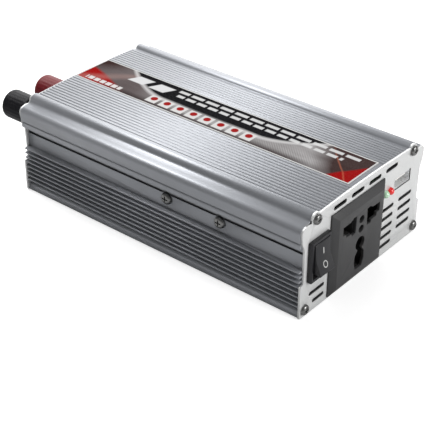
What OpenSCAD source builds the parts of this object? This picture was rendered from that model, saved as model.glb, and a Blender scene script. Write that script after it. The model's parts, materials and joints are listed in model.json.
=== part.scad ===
// Power inverter: an extruded aluminium case with a printed label, a front panel that carries a
// universal outlet, a rocker switch, a USB socket and two indicators, and a rear panel that carries
// a cooling fan and two screw-down input posts.
// +X is to the right as the front panel is faced, the front panel looks along -Y, +Z is up.
// The origin is on the resting surface, below the middle of the whole object. Millimetres.

/* [Case] */
// Width of the case across its two shoulders
case_w = 98.4; // [96:0.2:104]
// Length of the case, outer face to outer face of its two end panels
case_len = 174.5; // [160:0.5:220]
// Height of the flat top at its edges, below the ribs
case_h = 50.4; // [50:0.1:52]
// Wall thickness of the extrusion
wall = 2; // [1.6:0.1:2.2]
// Thickness of the front and rear panels
panel_t = 1; // [1:0.1:2]
// Rise of the crowned top at its middle
crown = 0.9; // [0.4:0.1:1.2]

/* [Label] */
// Width of the printed label on top
label_w = 24.8; // [18:0.2:30]
// Sideways place of the label's middle
label_x = 2.3; // [-6:0.1:6]

/* [Cooling fins] */
// Number of thin fins on each side
fin_count = 8; // [4:1:8]
// Distance between two fins
fin_pitch = 2.56; // [2:0.01:2.6]

/* [Outlet] */
// Sideways place of the outlet's middle
outlet_x = -6.7; // [-10:0.1:-2]
// Height of the outlet's middle
outlet_z = 23.2; // [22.5:0.1:24]
// How far the outlet's face stands out of the panel
outlet_proud = 2.8; // [1:0.1:5]

/* [Switch] */
// Sideways place of the rocker switch's middle
switch_x = -36.4; // [-37:0.1:-35.6]
// Height of the rocker switch's middle
switch_z = 28.5; // [24:0.1:30]
// Tilt of the rocker either way from its middle position, in degrees
rocker_tilt = 14; // [8:0.5:14]

/* [USB socket and indicators] */
// Sideways place of the USB socket's middle
usb_x = 30.8; // [28:0.1:34]
// Height of the USB socket's middle
usb_z = 36.4; // [34:0.1:38]
// Sideways place of the red indicator
red_led_x = 20.3; // [20.3:0.1:22]
// Sideways place of the green indicator
green_led_x = 16.4; // [16.2:0.1:16.4]
// Height of both indicators
led_z = 35.2; // [34:0.1:37]

/* [Input posts] */
// Sideways place of the negative post
negative_x = -35.5; // [-36:0.1:-34]
// Sideways place of the positive post
positive_x = -13; // [-16:0.1:-12]
// Height of both posts
post_z = 38.4; // [36:0.1:39]
// Radius of the threaded stud
stud_r = 3; // [3:0.5:4]
// Radius of the knobs
knob_r = 7.6; // [6.5:0.1:9]
// How far the knobs stand out of the rear panel
knob_reach = 21; // [18:0.5:22]

/* [Fan] */
// Side of the square fan
fan_size = 40; // [40:1:40]
// Depth of the fan
fan_depth = 10; // [10:1:15]
// Sideways place of the fan's middle
fan_x = 19.5; // [16:0.5:19.5]
// Height of the fan's middle
fan_z = 25; // [24:0.5:26]
// Number of fan blades
blade_count = 7; // [5:1:9]

/* [Hidden] */
$fn = 48;
eps = 0.01;
gap = 0.1;             // clearance between a fitted piece and its seat
run_gap = 0.05;        // radial running clearance of a shaft in its hole

// Rocker: two faces that meet in a shallow V, and the tilt of the pressed-in upper end
rocker_pivot_in = 1.2; // pivot's depth behind the panel's face
rocker_half = 7.8;     // half of the rocker's height
rocker_v = 8.5;        // slope of each face from the middle, in degrees
rocker_mid = 4.4;      // reach of the faces' meeting line from the pivot
rocker_tip_r = 0.6;    // rounding of the rocker's two tips
rocker_w = 10.6;
rocker_tip_u = rocker_mid + (rocker_half - rocker_tip_r) * tan(rocker_v) - rocker_tip_r;
front_reach = (rocker_half - rocker_tip_r) * sin(rocker_tilt) + rocker_tip_u * cos(rocker_tilt)
    + rocker_tip_r - rocker_pivot_in;

// Places along the length
total_len = front_reach + case_len + knob_reach;
front_y = -total_len / 2 + front_reach;   // front panel's outer face
rear_y = front_y + case_len;              // rear panel's outer face
inner_front = front_y + panel_t;
inner_rear = rear_y - panel_t;

// Case section, as half widths and heights
half_w = case_w / 2;
root_x = half_w - 4.2;      // outer face of the side wall between the fins
inner_x = root_x - 1.8;     // inner face of the side wall
bead_x = 38.6;              // screw channels under the top's two edges
bead_z = 48.8;
bead_r = 3.2;
foot_screw_x = 44.8;        // screw channels in the two feet
foot_screw_z = 4.3;
foot_in = 40.1;             // inner edge of each foot
foot_out = half_w - 1.9;
pilot_r = 1.25;             // screw pilot holes
band_top = 36.4;            // top of the recessed band that takes the side screws
side_screw_z = 30;
recess = 0.7;               // depth and rim of each side screw's tapered seat
seat_r = 4.4;
side_screw_y = [front_y + 48.5, front_y + 80.5];
fin_tip_x = half_w - 0.9;
fin_top_z = 24.7;
crease_z = 40.2;            // shallow crease along each shoulder's outer face
lip_z = 37.3;               // lower edge of the shoulder, above the recessed band

// Ribs on the top
rib_pitch = 2.1;
rib_h = 0.45;
rib_half = 0.85;            // half of a rib's width at its root
rib_from = 35.6;            // half width of the ribbed top

// Main board
board_z = 9.2;
board_t = 1.6;
board_x = inner_x - 0.35;
board_top = board_z + board_t;
board_front = front_y + 31;
board_rear = inner_rear - fan_depth - 3;
notch_x = 17;               // the board's front edge clears the outlet up to here

// ---------- shared shapes ----------

// Points of an arc about [cx, cy] from angle a to angle b
function arc(cx, cy, r, a, b, steps = 6) =
    [for (i = [0:steps]) let (t = a + (b - a) * i / steps) [cx + r * cos(t), cy + r * sin(t)]];

// A flat outline in X and Z, drawn out along Y from y0 to y1
module along_y(y0, y1) {
    translate([0, y1, 0]) rotate([90, 0, 0]) linear_extrude(y1 - y0) children();
}

// A flat outline in Y and Z, drawn out along X from x0 to x1
module along_x(x0, x1) {
    translate([x0, 0, 0]) rotate([90, 0, 90]) linear_extrude(x1 - x0) children();
}

// A round rod along Y
module rod_y(x, z, r, y0, y1) {
    translate([x, y0, z]) rotate([-90, 0, 0]) cylinder(r = r, h = y1 - y0);
}

// A round rod along X
module rod_x(y, z, r, x0, x1) {
    translate([x0, y, z]) rotate([0, 90, 0]) cylinder(r = r, h = x1 - x0);
}

// A block between two corners
module block(low, high) {
    translate(low) cube(high - low);
}

// A slot with round ends, centred, lying along the first axis
module slot_shape(length, height) {
    square([length - height, height], center = true);
    for (side = [-1, 1]) translate([side * (length - height) / 2, 0]) circle(d = height);
}

// A rectangle with round corners, centred
module round_rect(w, h, r) {
    square([w - 2 * r, h], center = true);
    square([w, h - 2 * r], center = true);
    for (sx = [-1, 1], sy = [-1, 1]) translate([sx * (w / 2 - r), sy * (h / 2 - r)]) circle(r = r);
}

// The same outline on both sides of the middle
module both_sides() {
    children();
    mirror([1, 0]) children();
}

// Pan head screw along +Y from its head's face: head radius, shank radius and length
module pan_screw(head_r, head_h, shank_r, length) {
    difference() {
        rotate([-90, 0, 0]) rotate_extrude() polygon(concat(
            [[0, 0]],
            arc(head_r - head_h * 0.8, head_h * 0.8, head_h * 0.8, 270, 360, 4),
            [[head_r, head_h], [shank_r, head_h], [shank_r, head_h + length],
             [0, head_h + length]]));
        for (turn = [0, 90]) rotate([0, turn, 0])
            block([-head_r * 0.55, -eps, -0.3], [head_r * 0.55, head_h * 0.7, 0.3]);
    }
}

// A smooth curve through a list of points, with some steps between each two
function curve_point(p, i, t) = let (
    n = len(p) - 1,
    a = p[max(i - 1, 0)],
    b = p[i],
    c = p[min(i + 1, n)],
    d = p[min(i + 2, n)])
    0.5 * ((2 * b) + (c - a) * t + (2 * a - 5 * b + 4 * c - d) * t * t
        + (3 * b - a - 3 * c + d) * t * t * t);
function smooth_path(p, steps) = concat(
    [for (i = [0:len(p) - 2], k = [0:steps - 1]) curve_point(p, i, k / steps)],
    [p[len(p) - 1]]);
function unit(v) = v / norm(v);

// A round wire along a route, as one closed tube
module wire(route, r, steps = 5, sides = 8) {
    path = smooth_path(route, steps);
    last = len(path) - 1;
    points = [for (i = [0:last]) let (
            dir = unit(path[min(i + 1, last)] - path[max(i - 1, 0)]),
            side = unit(cross(dir, [0.31, 0.22, 0.92])),
            up = cross(side, dir))
        for (k = [0:sides - 1]) path[i] + r * (cos(k * 360 / sides) * side
            + sin(k * 360 / sides) * up)];
    walls = [for (i = [0:last - 1], k = [0:sides - 1]) let (
            a = i * sides + k,
            b = i * sides + (k + 1) % sides)
        each [[a, b, b + sides], [a, b + sides, a + sides]]];
    polyhedron(points, concat([[for (k = [sides - 1:-1:0]) k]], walls,
        [[for (k = [0:sides - 1]) last * sides + k]]));
}

// ---------- case ----------

// Height of the crowned top at a place across it
function top_z(x) = case_h + crown * (1 - pow(x / rib_from, 2));

// The top from left to right: ribs, and a plain stretch under the label
label_low = label_x - label_w / 2;
label_high = label_x + label_w / 2;
rib_places = [for (x = [-rib_from + rib_pitch / 2:rib_pitch:rib_from - rib_pitch / 2]) x];
function under_label(x) = x + rib_pitch / 2 > label_low && x - rib_pitch / 2 < label_high;
function rib_points(x) = [[x - rib_half, top_z(x)], [x - rib_half + 0.2, top_z(x) + rib_h],
    [x + rib_half - 0.2, top_z(x) + rib_h], [x + rib_half, top_z(x)]];
top_line = [for (x = rib_places) each under_label(x) ? [[x, top_z(x)]] : rib_points(x)];

// The right side from the top's edge down: shoulder with its crease, recessed band and fins
fin_line = [for (i = [0:fin_count - 1]) let (z = fin_top_z - i * fin_pitch)
    each [[root_x, z + 0.75], [fin_tip_x - 0.3, z + 0.35], [fin_tip_x, z],
        [fin_tip_x - 0.3, z - 0.35], [root_x, z - 0.75]]];
side_line = concat(
    [[rib_from, case_h], [bead_x + 2.9, 49.9], [bead_x + 3.15, 49.35], [bead_x + 3.45, 48.95],
     [bead_x + 3.9, 48.62], [bead_x + 4.6, 48.37], [bead_x + 5.5, 48.2], [half_w - 4, 48]],
    arc(half_w - 2.8, 44.7, 2.8, 75, 0, 8),
    [[half_w - 0.15, crease_z + 0.6], [half_w - 0.75, crease_z + 0.1],
     [half_w - 0.75, crease_z - 0.2], [half_w - 0.4, crease_z - 0.6],
     [half_w - 0.55, lip_z + 0.6], [half_w - 0.75, lip_z], [half_w - 1.5, lip_z - 0.3],
     [root_x, band_top]],
    fin_line,
    [[root_x, foot_screw_z]]);

// An outline's left half, made from its right half
function mirrored(line) = [for (i = [len(line) - 1:-1:0]) [-line[i][0], line[i][1]]];

// A rod along Y on both sides of the case, and a block likewise
module rods_y(x, z, r, y0, y1) {
    for (side = [-1, 1]) rod_y(side * x, z, r, y0, y1);
}
module blocks(low, high) {
    for (side = [0, 1]) mirror([side, 0, 0]) block(low, high);
}

module shell_body() {
    difference() {
        along_y(inner_front, inner_rear) polygon(concat(top_line, side_line,
            mirrored(side_line)));
        along_y(inner_front - 1, inner_rear + 1) polygon([[-inner_x, -1], [-inner_x, 41],
            [-inner_x + 6, case_h - wall], [inner_x - 6, case_h - wall], [inner_x, 41],
            [inner_x, -1]]);
    }
    // Screw channels under the top's edges and in the feet
    rods_y(bead_x, bead_z, bead_r, inner_front, inner_rear);
    rods_y(foot_screw_x, foot_screw_z, 3, inner_front, inner_rear);
    blocks([foot_in, inner_front, 0], [foot_out, inner_rear, 4.1]);
    // Ledges that hold the main board's edges
    for (z = [board_z - 1.4, board_top + 0.2])
        blocks([inner_x - 1.4, inner_front, z], [inner_x + 0.5, inner_rear, z + 1.2]);
}

module upper_shell() {
    color("#b4b8c0") difference() {
        shell_body();
        rods_y(bead_x, bead_z, pilot_r, inner_front - 1, inner_rear + 1);
        rods_y(foot_screw_x, foot_screw_z, pilot_r, inner_front - 1, inner_rear + 1);
        blocks([foot_in - 1, inner_front - 1, 1], [foot_in + 1.6, inner_rear + 1, 2.7]);
        for (side = [-1, 1], y = side_screw_y) {
            rod_x(y, side_screw_z, 1.8, side * root_x - 5, side * root_x + 5);
            translate([side * (root_x + eps), y, side_screw_z]) rotate([0, -side * 90, 0])
                cylinder(r1 = seat_r, r2 = 3.2, h = recess + eps);
        }
    }
}

module base_plate() {
    edge = foot_in - gap;
    tongue = foot_in + 1.4;
    color("#a9adb4") along_y(inner_front, inner_rear) polygon([
        [-edge, 0], [edge, 0], [edge, 1.1], [tongue, 1.1], [tongue, 2.6], [-tongue, 2.6],
        [-tongue, 1.1], [-edge, 1.1]]);
}

module label_sheet() {
    color("#8a1c1c") along_y(inner_front + 2.6, inner_rear - 0.1) polygon(concat(
        [for (i = [0:8]) let (x = label_low + label_w * i / 8) [x, top_z(x) + 0.02]],
        [for (i = [8:-1:0]) let (x = label_low + label_w * i / 8) [x, top_z(x) + 0.27]]));
}

// ---------- panels ----------

// Outline of an end panel that stands above the case's top by its rise
module panel_outline(rise) {
    right = concat(
        [[foot_out + 0.6, 0.4], [foot_out + 1, 0.8], [foot_out + 1, 17.8],
         [root_x + 1.1, 18.6], [root_x + 1.2, 30], [root_x + 1.5, 36.9], [half_w - 1.2, 39.6]],
        arc(half_w - 3, 45.2, 2.5, -10, 75, 5),
        [[half_w - 4.4, 48.2], [bead_x + 3.5, 47.9]],
        arc(bead_x, bead_z, bead_r - 0.1 + rise, 0, 112, 6),
        [for (i = [6:-1:1]) let (x = (bead_x - 2) * i / 6) [x, top_z(min(x, rib_from)) + rise]]);
    polygon(concat(right, mirrored(right)));
}

module panel_screw_holes() {
    both_sides() {
        translate([bead_x, bead_z]) circle(r = 1.65);
        translate([foot_screw_x, foot_screw_z]) circle(r = 1.65);
    }
}

// Vent slots as [x, z, length, height]
top_vent_z = 47.5;
column_top_z = 26;
column_step = 5.06;
front_vents = concat(
    [for (x = [-20.9, -7.1, 6.7, 20.5]) [x, top_vent_z, 9.9, 2.3]],
    [for (i = [0:3]) [34.7, column_top_z - i * column_step, 11.4, 2.1]],
    [for (i = [0:4]) [19.4, column_top_z - i * column_step, 11, 2.1]],
    [[-35.8, 10.5, 11.7, 2.1], [-34.4, 5.4, 9, 2.1]]);

module front_panel() {
    color("#dcdcd8") along_y(front_y, inner_front) difference() {
        panel_outline(0.3);
        panel_screw_holes();
        for (v = front_vents) translate([v[0], v[1]]) slot_shape(v[2], v[3]);
        translate([outlet_x, outlet_z]) square([36.4, 37.4], center = true);
        translate([switch_x, switch_z]) square([13.2, 19.2], center = true);
        translate([usb_x, usb_z]) square([14.4, 6.6], center = true);
        for (x = [red_led_x, green_led_x]) translate([x, led_z]) circle(r = led_r + 0.05);
    }
}

rear_vents = [for (x = [-32, -17], i = [0:3]) [x, 8.6 + i * column_step, 11.4, 2.1]];
fan_hole = 16;       // half of the fan's screw spacing
fan_bore = 19;

module rear_panel() {
    color("#dcdcd8") difference() {
        along_y(inner_rear, rear_y) difference() {
            panel_outline(-0.15);
            for (v = rear_vents) translate([v[0], v[1]]) slot_shape(v[2], v[3]);
            for (x = [negative_x, positive_x]) translate([x, post_z]) circle(r = 4.6);
            translate([fan_x, fan_z]) circle(r = fan_bore);
            for (sx = [-1, 1], sz = [-1, 1])
                translate([fan_x + sx * fan_hole, fan_z + sz * fan_hole]) circle(r = 1.65);
        }
        at_panel_screws() translate([0, rear_y - 2, 0]) rotate([-90, 0, 0])
            cylinder(r1 = flush_r - 1.98, r2 = flush_r + 0.02 + eps, h = 2 + eps);
    }
}

// The four places of the screws that hold an end panel
module at_panel_screws() {
    for (side = [-1, 1]) {
        translate([side * bead_x, 0, bead_z]) children();
        translate([side * foot_screw_x, 0, foot_screw_z]) children();
    }
}

// Pan head screws in front, driven into the channels of the extrusion
module panel_screws() {
    color("#c9c9c4") at_panel_screws() translate([0, front_y - 1.7, 0])
        pan_screw(2.6, 1.7 - eps, pilot_r - 0.02, 9);
}

// Countersunk screws at the rear, flush with the panel
flush_r = 2.2;
module rear_screws() {
    shank_r = pilot_r - 0.02;
    color("#c9c9c4") at_panel_screws() translate([0, rear_y - eps, 0]) mirror([0, 1, 0])
        difference() {
            rotate([-90, 0, 0]) rotate_extrude() polygon([[0, 0], [flush_r, 0],
                [shank_r, flush_r - shank_r], [shank_r, 9], [0, 9]]);
            for (turn = [0, 90]) rotate([0, turn, 0])
                block([-1.3, -eps, -0.25], [1.3, 0.7, 0.25]);
        }
}

// Two screws on each side, through the wall into the clamp bars
module side_screws() {
    color("#c9c9c4") for (side = [-1, 1], y = side_screw_y)
        translate([side * (root_x - recess + 1.8), y, side_screw_z]) rotate([0, 0, side * 90])
            pan_screw(3, 1.8 - eps, 1.45, 10);
}

// ---------- outlet ----------

// Bevelled cover: a wide base that narrows to a flat face
cover_half = [21, 21.8];
face_half = [17.6, 18.4];
module bevel_profile(half, top) {
    polygon([[-half, 0], [half, 0], [half, -0.7], [top, -outlet_proud],
        [-top, -outlet_proud], [-half, -0.7]]);
}

// Openings for live and neutral blades, seen from the front, about the outlet's middle
function blade_opening() = [
    [4.5, 5.6], [4.2, 14.4], [6.6, 14.6], [8.8, 13.3], [14.6, 13.2], [14.5, 8.7], [12.2, 8.7],
    [12, 7], [7.8, 6.7], [7.6, 5.4]];
module outlet_openings() {
    for (side = [0, 1]) mirror([side, 0]) polygon(blade_opening());
    translate([0, 10.9]) circle(r = 1.95);
    translate([0, 5.8]) circle(r = 1.95);
    translate([0, -1.9]) circle(r = 3.5);
    polygon([[-3.9, -11.6], [-3.6, -7.6], [-1.6, -5], [1.6, -5], [3.6, -7.6], [3.9, -11.6],
        [2.6, -15.6], [-2.6, -15.6]]);
}

module outlet_cover() {
    color("#5a5a5a") translate([outlet_x, front_y, outlet_z]) difference() {
        intersection() {
            translate([0, 0, -cover_half[1]]) linear_extrude(2 * cover_half[1])
                bevel_profile(cover_half[0], face_half[0]);
            translate([-cover_half[0], 0, 0]) rotate([0, 90, 0])
                linear_extrude(2 * cover_half[0])
                bevel_profile(cover_half[1], face_half[1]);
        }
        along_y(-4, 1) outlet_openings();
        // Hollow behind the face
        along_y(-1.2, 1) square([34, 35.6], center = true);
    }
}

// Insulating body behind the cover, with a chamber for each contact
outlet_depth = 19;
chamber = [[5, 15.4, 5.2, 14.8], [-15.4, -5, 5.2, 14.8], [-4.4, 4.4, -15.8, 2.6]];
module outlet_body() {
    color("#4a4a4a") translate([outlet_x, front_y, outlet_z]) difference() {
        along_y(-1.15, outlet_depth) round_rect(33.8, 35.4, 1.5);
        for (c = chamber) block([c[0], -2, c[2]], [c[1], outlet_depth - 2, c[3]]);
        for (z = [10.9, 5.8]) rod_y(0, z, 1.95, -2, 10);
        // Slots that the contacts' tails leave through
        for (x = [-10.2, 10.2]) block([x - 2.6, 0, 9.5], [x + 2.6, outlet_depth + 1, 10.7]);
        block([-2.6, 0, -7.1], [2.6, outlet_depth + 1, -5.9]);
    }
}

// A folded spring contact: two leaves on a back strip, with a tail to the rear
module leaf_contact(x, z, spread, height) {
    translate([outlet_x + x, front_y, outlet_z + z]) {
        for (side = [-1, 1]) block([side * spread - 0.3, 5, -height], [side * spread + 0.3,
            outlet_depth - 3, height]);
        block([-spread - 0.3, outlet_depth - 3.6, -height], [spread + 0.3, outlet_depth - 3,
            height]);
        block([-2.4, outlet_depth - 3.5, -0.4], [2.4, outlet_depth + 6, 0.4]);
    }
}
module line_contact() { color("#c9a14a") leaf_contact(10.2, 10.1, 4.4, 4); }
module neutral_contact() { color("#c9a14a") leaf_contact(-10.2, 10.1, 4.4, 4); }
module earth_contact() { color("#c9a14a") leaf_contact(0, -6.5, 3.6, 8); }

// ---------- switch ----------

module switch_housing() {
    color("#1c1c1e") translate([switch_x, front_y, switch_z]) difference() {
        union() {
            intersection() {
                along_y(-2.1, 0) round_rect(15, 21, 0.8);
                translate([0, 0, -11]) linear_extrude(22) polygon([[-7.5, 0], [-7.5, -1.3],
                    [-6.7, -2.1], [6.7, -2.1], [7.5, -1.3], [7.5, 0]]);
            }
            along_y(-eps, 14) round_rect(13, 19, 0.5);
        }
        // Well for the rocker, and the chamber for the contact blade
        along_y(-3, 6.6) square([11.4, 18.2], center = true);
        block([-3.2, 6, -8], [3.2, 11.6, 8]);
        rod_x(rocker_pivot_in, 0, 1.05, -6.2, 6.2);
        for (z = [-6.6, 0, 6.6]) block([-2.45, 11, z - 0.45], [2.45, 15, z + 0.45]);
    }
}

// Rocker in its own frame: first axis out of the panel, second axis up
module rocker_profile() {
    tip_u = rocker_tip_u;
    tip_v = rocker_half - rocker_tip_r;
    polygon(concat(
        [[rocker_mid, 0]],
        arc(tip_u, tip_v, rocker_tip_r, 0, 90, 4),
        [[-0.8, 5.2], [-1.6, 2.4], [-1.6, -2.4], [-0.8, -5.2]],
        arc(tip_u, -tip_v, rocker_tip_r, -90, 0, 4)));
}
module switch_rocker() {
    color("#232326") translate([switch_x, front_y + rocker_pivot_in, switch_z]) {
        rotate([-rocker_tilt, 0, 0]) difference() {
            union() {
                along_x(-rocker_w / 2, rocker_w / 2) mirror([1, 0]) rocker_profile();
                rod_x(0, 0, 1, -rocker_w / 2 - 0.7, rocker_w / 2 + 0.7);
            }
            translate([0, 0.2, 0]) rotate([-90, 0, 0]) cylinder(r = 1.3, h = 4);
        }
    }
}

// Sprung plunger in the rocker that rides on the blade
plunger_len = 8.5;
module switch_plunger() {
    color("#e6e2d6") translate([switch_x, front_y + rocker_pivot_in, switch_z])
        rotate([-rocker_tilt, 0, 0]) rotate([-90, 0, 0]) rotate_extrude()
        polygon(concat([[0, 0.3], [1.2, 0.3], [1.2, plunger_len - 1.2]],
            arc(0, plunger_len - 1.2, 1.2, 0, 90, 5)));
}

// Tilting contact blade on the middle terminal
blade_y = front_y + 10.6;
blade_tilt = 9;
blade_pivot_r = 0.45;
module switch_blade() {
    half = [[0.3, 0], [0, 1.2], [-0.9, 3], [-0.9, 6.9], [-1.5, 6.9], [-1.5, 2.8], [-0.6, 0.8]];
    color("#b87838") translate([switch_x, blade_y, switch_z]) rotate([blade_tilt, 0, 0]) {
        along_x(-2, 2) polygon(concat(half, [for (i = [6:-1:1]) [half[i][0], -half[i][1]]]));
        rod_x(0, 0, blade_pivot_r, -2.2, 2.2);
    }
}

module switch_terminals() {
    color("#c9a14a") translate([switch_x, front_y, switch_z]) for (z = [-6.6, 0, 6.6])
        along_y(11.1, 21.5) translate([0, z]) square([4.8, 0.8], center = true);
}

// ---------- USB socket and indicators ----------

card_y = front_y + 14.5;   // face of the upright card behind the panel
module usb_shell() {
    color("#c8c8c6") translate([usb_x, 0, usb_z]) along_y(front_y + 0.3, card_y) difference() {
        round_rect(13.1, 5.7, 0.5);
        round_rect(12.5, 5.1, 0.4);
    }
}
module usb_tongue() {
    color("#ecebe4") translate([usb_x, 0, usb_z]) {
        block([-5.6, front_y + 1.8, 0.2], [5.6, card_y - 1, 2]);
        block([-6.1, card_y - 2.5, -2.4], [6.1, card_y, 2.4]);
    }
}

// A round indicator with a domed nose and a collar behind the panel
led_r = 1.85;
module indicator(x) {
    translate([x, front_y, led_z]) rotate([-90, 0, 0]) rotate_extrude() polygon(concat(
        [[0, 5], [led_r + 0.1, 5], [led_r + 0.1, 4], [led_r, 4]],
        arc(0, -0.4, led_r, 0, -90, 8)));
}
module red_led() { color("#d01818") indicator(red_led_x); }
module green_led() { color("#7ec98a") indicator(green_led_x); }
module led_legs() {
    color("#c8c8c6") for (x = [red_led_x, green_led_x], side = [-1, 1])
        block([x + side * 0.9 - 0.25, front_y + 5, led_z - 0.25],
            [x + side * 0.9 + 0.25, card_y + 2.2, led_z + 0.25]);
}
module indicator_board() {
    color("#2f7a3a") difference() {
        block([notch_x - 3, card_y, 6.5], [inner_x - 4.5, card_y + board_t, 41]);
        for (x = [red_led_x, green_led_x], side = [-1, 1])
            block([x + side * 0.9 - 0.27, card_y - 1, led_z - 0.27],
                [x + side * 0.9 + 0.27, card_y + 3, led_z + 0.27]);
    }
}

// ---------- boards and their parts ----------

module main_board() {
    color("#3a8048") difference() {
        union() {
            block([-board_x, board_front, board_z], [board_x, board_rear, board_top]);
            block([notch_x, card_y + board_t + 0.2, board_z], [board_x, board_front + 1,
                board_top]);
        }
        for (x = [-30, -10, 30], y = [board_front + 6, board_rear - 5])
            translate([x, y, board_z - 1]) cylinder(r = 1.6, h = 4);
    }
}

transformer_place = [[-9, -8], [-9, 29]];
core_size = [28, 13, 32];
module transformer_cores() {
    color("#3a3a3e") for (p = transformer_place) translate([p[0], p[1], board_top + 4])
        difference() {
            translate([-core_size[0] / 2, -core_size[1] / 2, 0]) cube(core_size);
            for (side = [-1, 1]) translate([side * 8.4 - 3.4, -10, 4.5]) cube([6.8, 20,
                core_size[2] - 9]);
        }
}
module transformer_bobbins() {
    color("#22262a") for (p = transformer_place) translate([p[0], p[1], board_top]) {
        difference() {
            union() {
                block([-12, -12, 0], [12, 12, 3.9]);
                block([-11.7, -12, 8.6], [11.7, 12, 9.8]);
                block([-11.7, -12, 30.3], [11.7, 12, 31.4]);
                block([-6.2, -7.8, 8.6], [6.2, 7.8, 31.4]);
                for (side = [0, 1]) mirror([0, side, 0]) block([-11.7, 6.9, 3], [11.7, 12, 9]);
            }
            block([-5.05, -6.6, 3.95], [5.05, 6.6, 40]);
        }
    }
}
module transformer_tape() {
    color("#d8b83a") for (p = transformer_place) translate([p[0], p[1], board_top])
        translate([0, 0, 10]) linear_extrude(20.2) difference() {
            round_rect(22.8, 23.2, 4);
            square([12.6, 15.8], center = true);
        }
}

// A can capacitor that stands on the board
module can(x, y, r, h) {
    translate([x, y, board_top]) rotate_extrude() polygon(concat([[0, 0.3], [r - 0.4, 0.3],
        [r, 0.8], [r, 2.2], [r - 0.5, 2.7], [r, 3.2]], arc(r - 0.8, h - 0.8, 0.8, 0, 90, 4),
        [[r - 1.2, h - 0.4], [0, h - 0.4]]));
}
module input_capacitors() {
    color("#26304a") for (y = [10.4, 23, 35.6]) can(-32, y, 6, 25);
}
module bus_capacitor() { color("#2a2a30") can(17, 12, 9, 30); }

choke_x = 17;
choke_y = -14;
module choke_core() {
    color("#d9c23a") translate([choke_x, choke_y, board_top + 0.9]) rotate_extrude()
        translate([5.2, 0]) square([5.2, 9]);
}
module choke_winding() {
    color("#b5562a") translate([choke_x, choke_y, board_top + 5.4]) for (i = [0:15])
        rotate([0, 0, i * 20 + 30]) translate([7.8, 0, 0]) rotate([90, 0, 0])
        linear_extrude(1.1, center = true) difference() {
            round_rect(7.2, 10.7, 1);
            square([5.4, 9.2], center = true);
        }
}

transistor_y = [for (i = [0:3]) front_y + 39.5 + i * 16.5];
bar_x = inner_x - 7.6;     // side of the clamp bars away from the wall
module transistor(side, y) {
    low = min(side * (inner_x - 0.35), side * (inner_x - 4.85));
    high = max(side * (inner_x - 0.35), side * (inner_x - 4.85));
    block([low, y - 5, 19], [high, y + 5, 28.4]);
    tab_low = min(side * (inner_x - 0.35), side * (inner_x - 1.65));
    tab_high = max(side * (inner_x - 0.35), side * (inner_x - 1.65));
    difference() {
        block([tab_low, y - 5, 28.3], [tab_high, y + 5, 34.6]);
        rod_x(y, 31.8, 1.8, side * inner_x - 4, side * inner_x + 4);
    }
}
module input_transistors() {
    color("#2a2a2c") for (y = transistor_y) transistor(-1, y);
}
module output_transistors() {
    color("#2a2a2c") for (y = transistor_y) transistor(1, y);
}
module transistor_legs() {
    color("#c8c8c6") for (side = [-1, 1], y = transistor_y, k = [-1:1])
        translate([side * (inner_x - 2.9), y + k * 2.54, (board_top + 19) / 2])
        cube([0.5, 0.8, 19 - board_top], center = true);
}
module clamp_bars() {
    color("#8e9298") for (side = [-1, 1]) difference() {
        translate([side * (inner_x - 4.95 - 1.25), (side_screw_y[0] + side_screw_y[1]) / 2,
            side_screw_z - 4]) cube([2.5, 66, 12], center = true);
        for (y = side_screw_y) rod_x(y, side_screw_z, 1.47, side * inner_x - 12,
            side * inner_x + 12);
    }
}
module insulating_pads() {
    color("#c9cdb8") for (side = [-1, 1], y = transistor_y)
        translate([side * (inner_x - 0.19), y, 26.8]) cube([0.28, 12, 17], center = true);
}

fuse_place = [[-36, 52], [-24, 52], [-12, 52]];
module fuse_holders() {
    color("#1f2226") for (p = fuse_place) translate([p[0], p[1], board_top]) difference() {
        block([-2.6, -9.6, 0], [2.6, 9.6, 7]);
        block([-0.55, -9, 1.5], [0.55, -3.4, 8]);
        block([-0.55, 3.4, 1.5], [0.55, 9, 8]);
    }
}
module blade_fuses() {
    color("#2f8f46") for (p = fuse_place) translate([p[0], p[1], board_top]) {
        block([-2.2, -9.4, 7.1], [2.2, 9.4, 15]);
        block([-0.35, -8.8, 2.4], [0.35, -3.7, 7.2]);
        block([-0.35, 3.7, 2.4], [0.35, 8.8, 7.2]);
    }
}

card_x = 6.5;
module control_board() {
    color("#2f7a3a") block([card_x, 26, board_top], [card_x + board_t, 58, 36]);
}
module control_chips() {
    color("#1b1b1d") for (c = [[30, 16], [41, 16], [34, 27]])
        block([card_x + board_t, c[0], c[1]], [card_x + board_t + 3.2, c[0] + 7.5, c[1] + 8]);
}
module buzzer() {
    color("#18181a") translate([33, 40, board_top]) difference() {
        cylinder(r = 6, h = 8.5);
        translate([0, 0, 4]) cylinder(r = 1.2, h = 6);
    }
}

// ---------- fan ----------

fan_front = inner_rear - fan_depth;
hub_r = 8.5;
shaft_r = 1;
module fan_frame() {
    color("#1c1c1e") translate([fan_x, 0, fan_z]) {
        difference() {
            along_y(fan_front, inner_rear) round_rect(fan_size, fan_size, 2.5);
            rod_y(0, 0, fan_bore, fan_front - 1, inner_rear + 1);
            for (sx = [-1, 1], sz = [-1, 1])
                rod_y(sx * fan_hole, sz * fan_hole, 1.65, fan_front - 1, inner_rear + 1);
        }
        // Motor seat on three struts, on the inner side
        difference() {
            union() {
                rod_y(0, 0, hub_r, fan_front, fan_front + 1.4);
                rod_y(0, 0, 2.6, fan_front, fan_front + 5.4);
                for (turn = [90, 210, 330]) rotate([0, turn, 0])
                    block([hub_r - 1, fan_front, -1.1], [fan_bore + 0.5, fan_front + 1.4, 1.1]);
            }
            rod_y(0, 0, shaft_r + 0.04, fan_front - 1, fan_front + 6);
        }
    }
}
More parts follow.
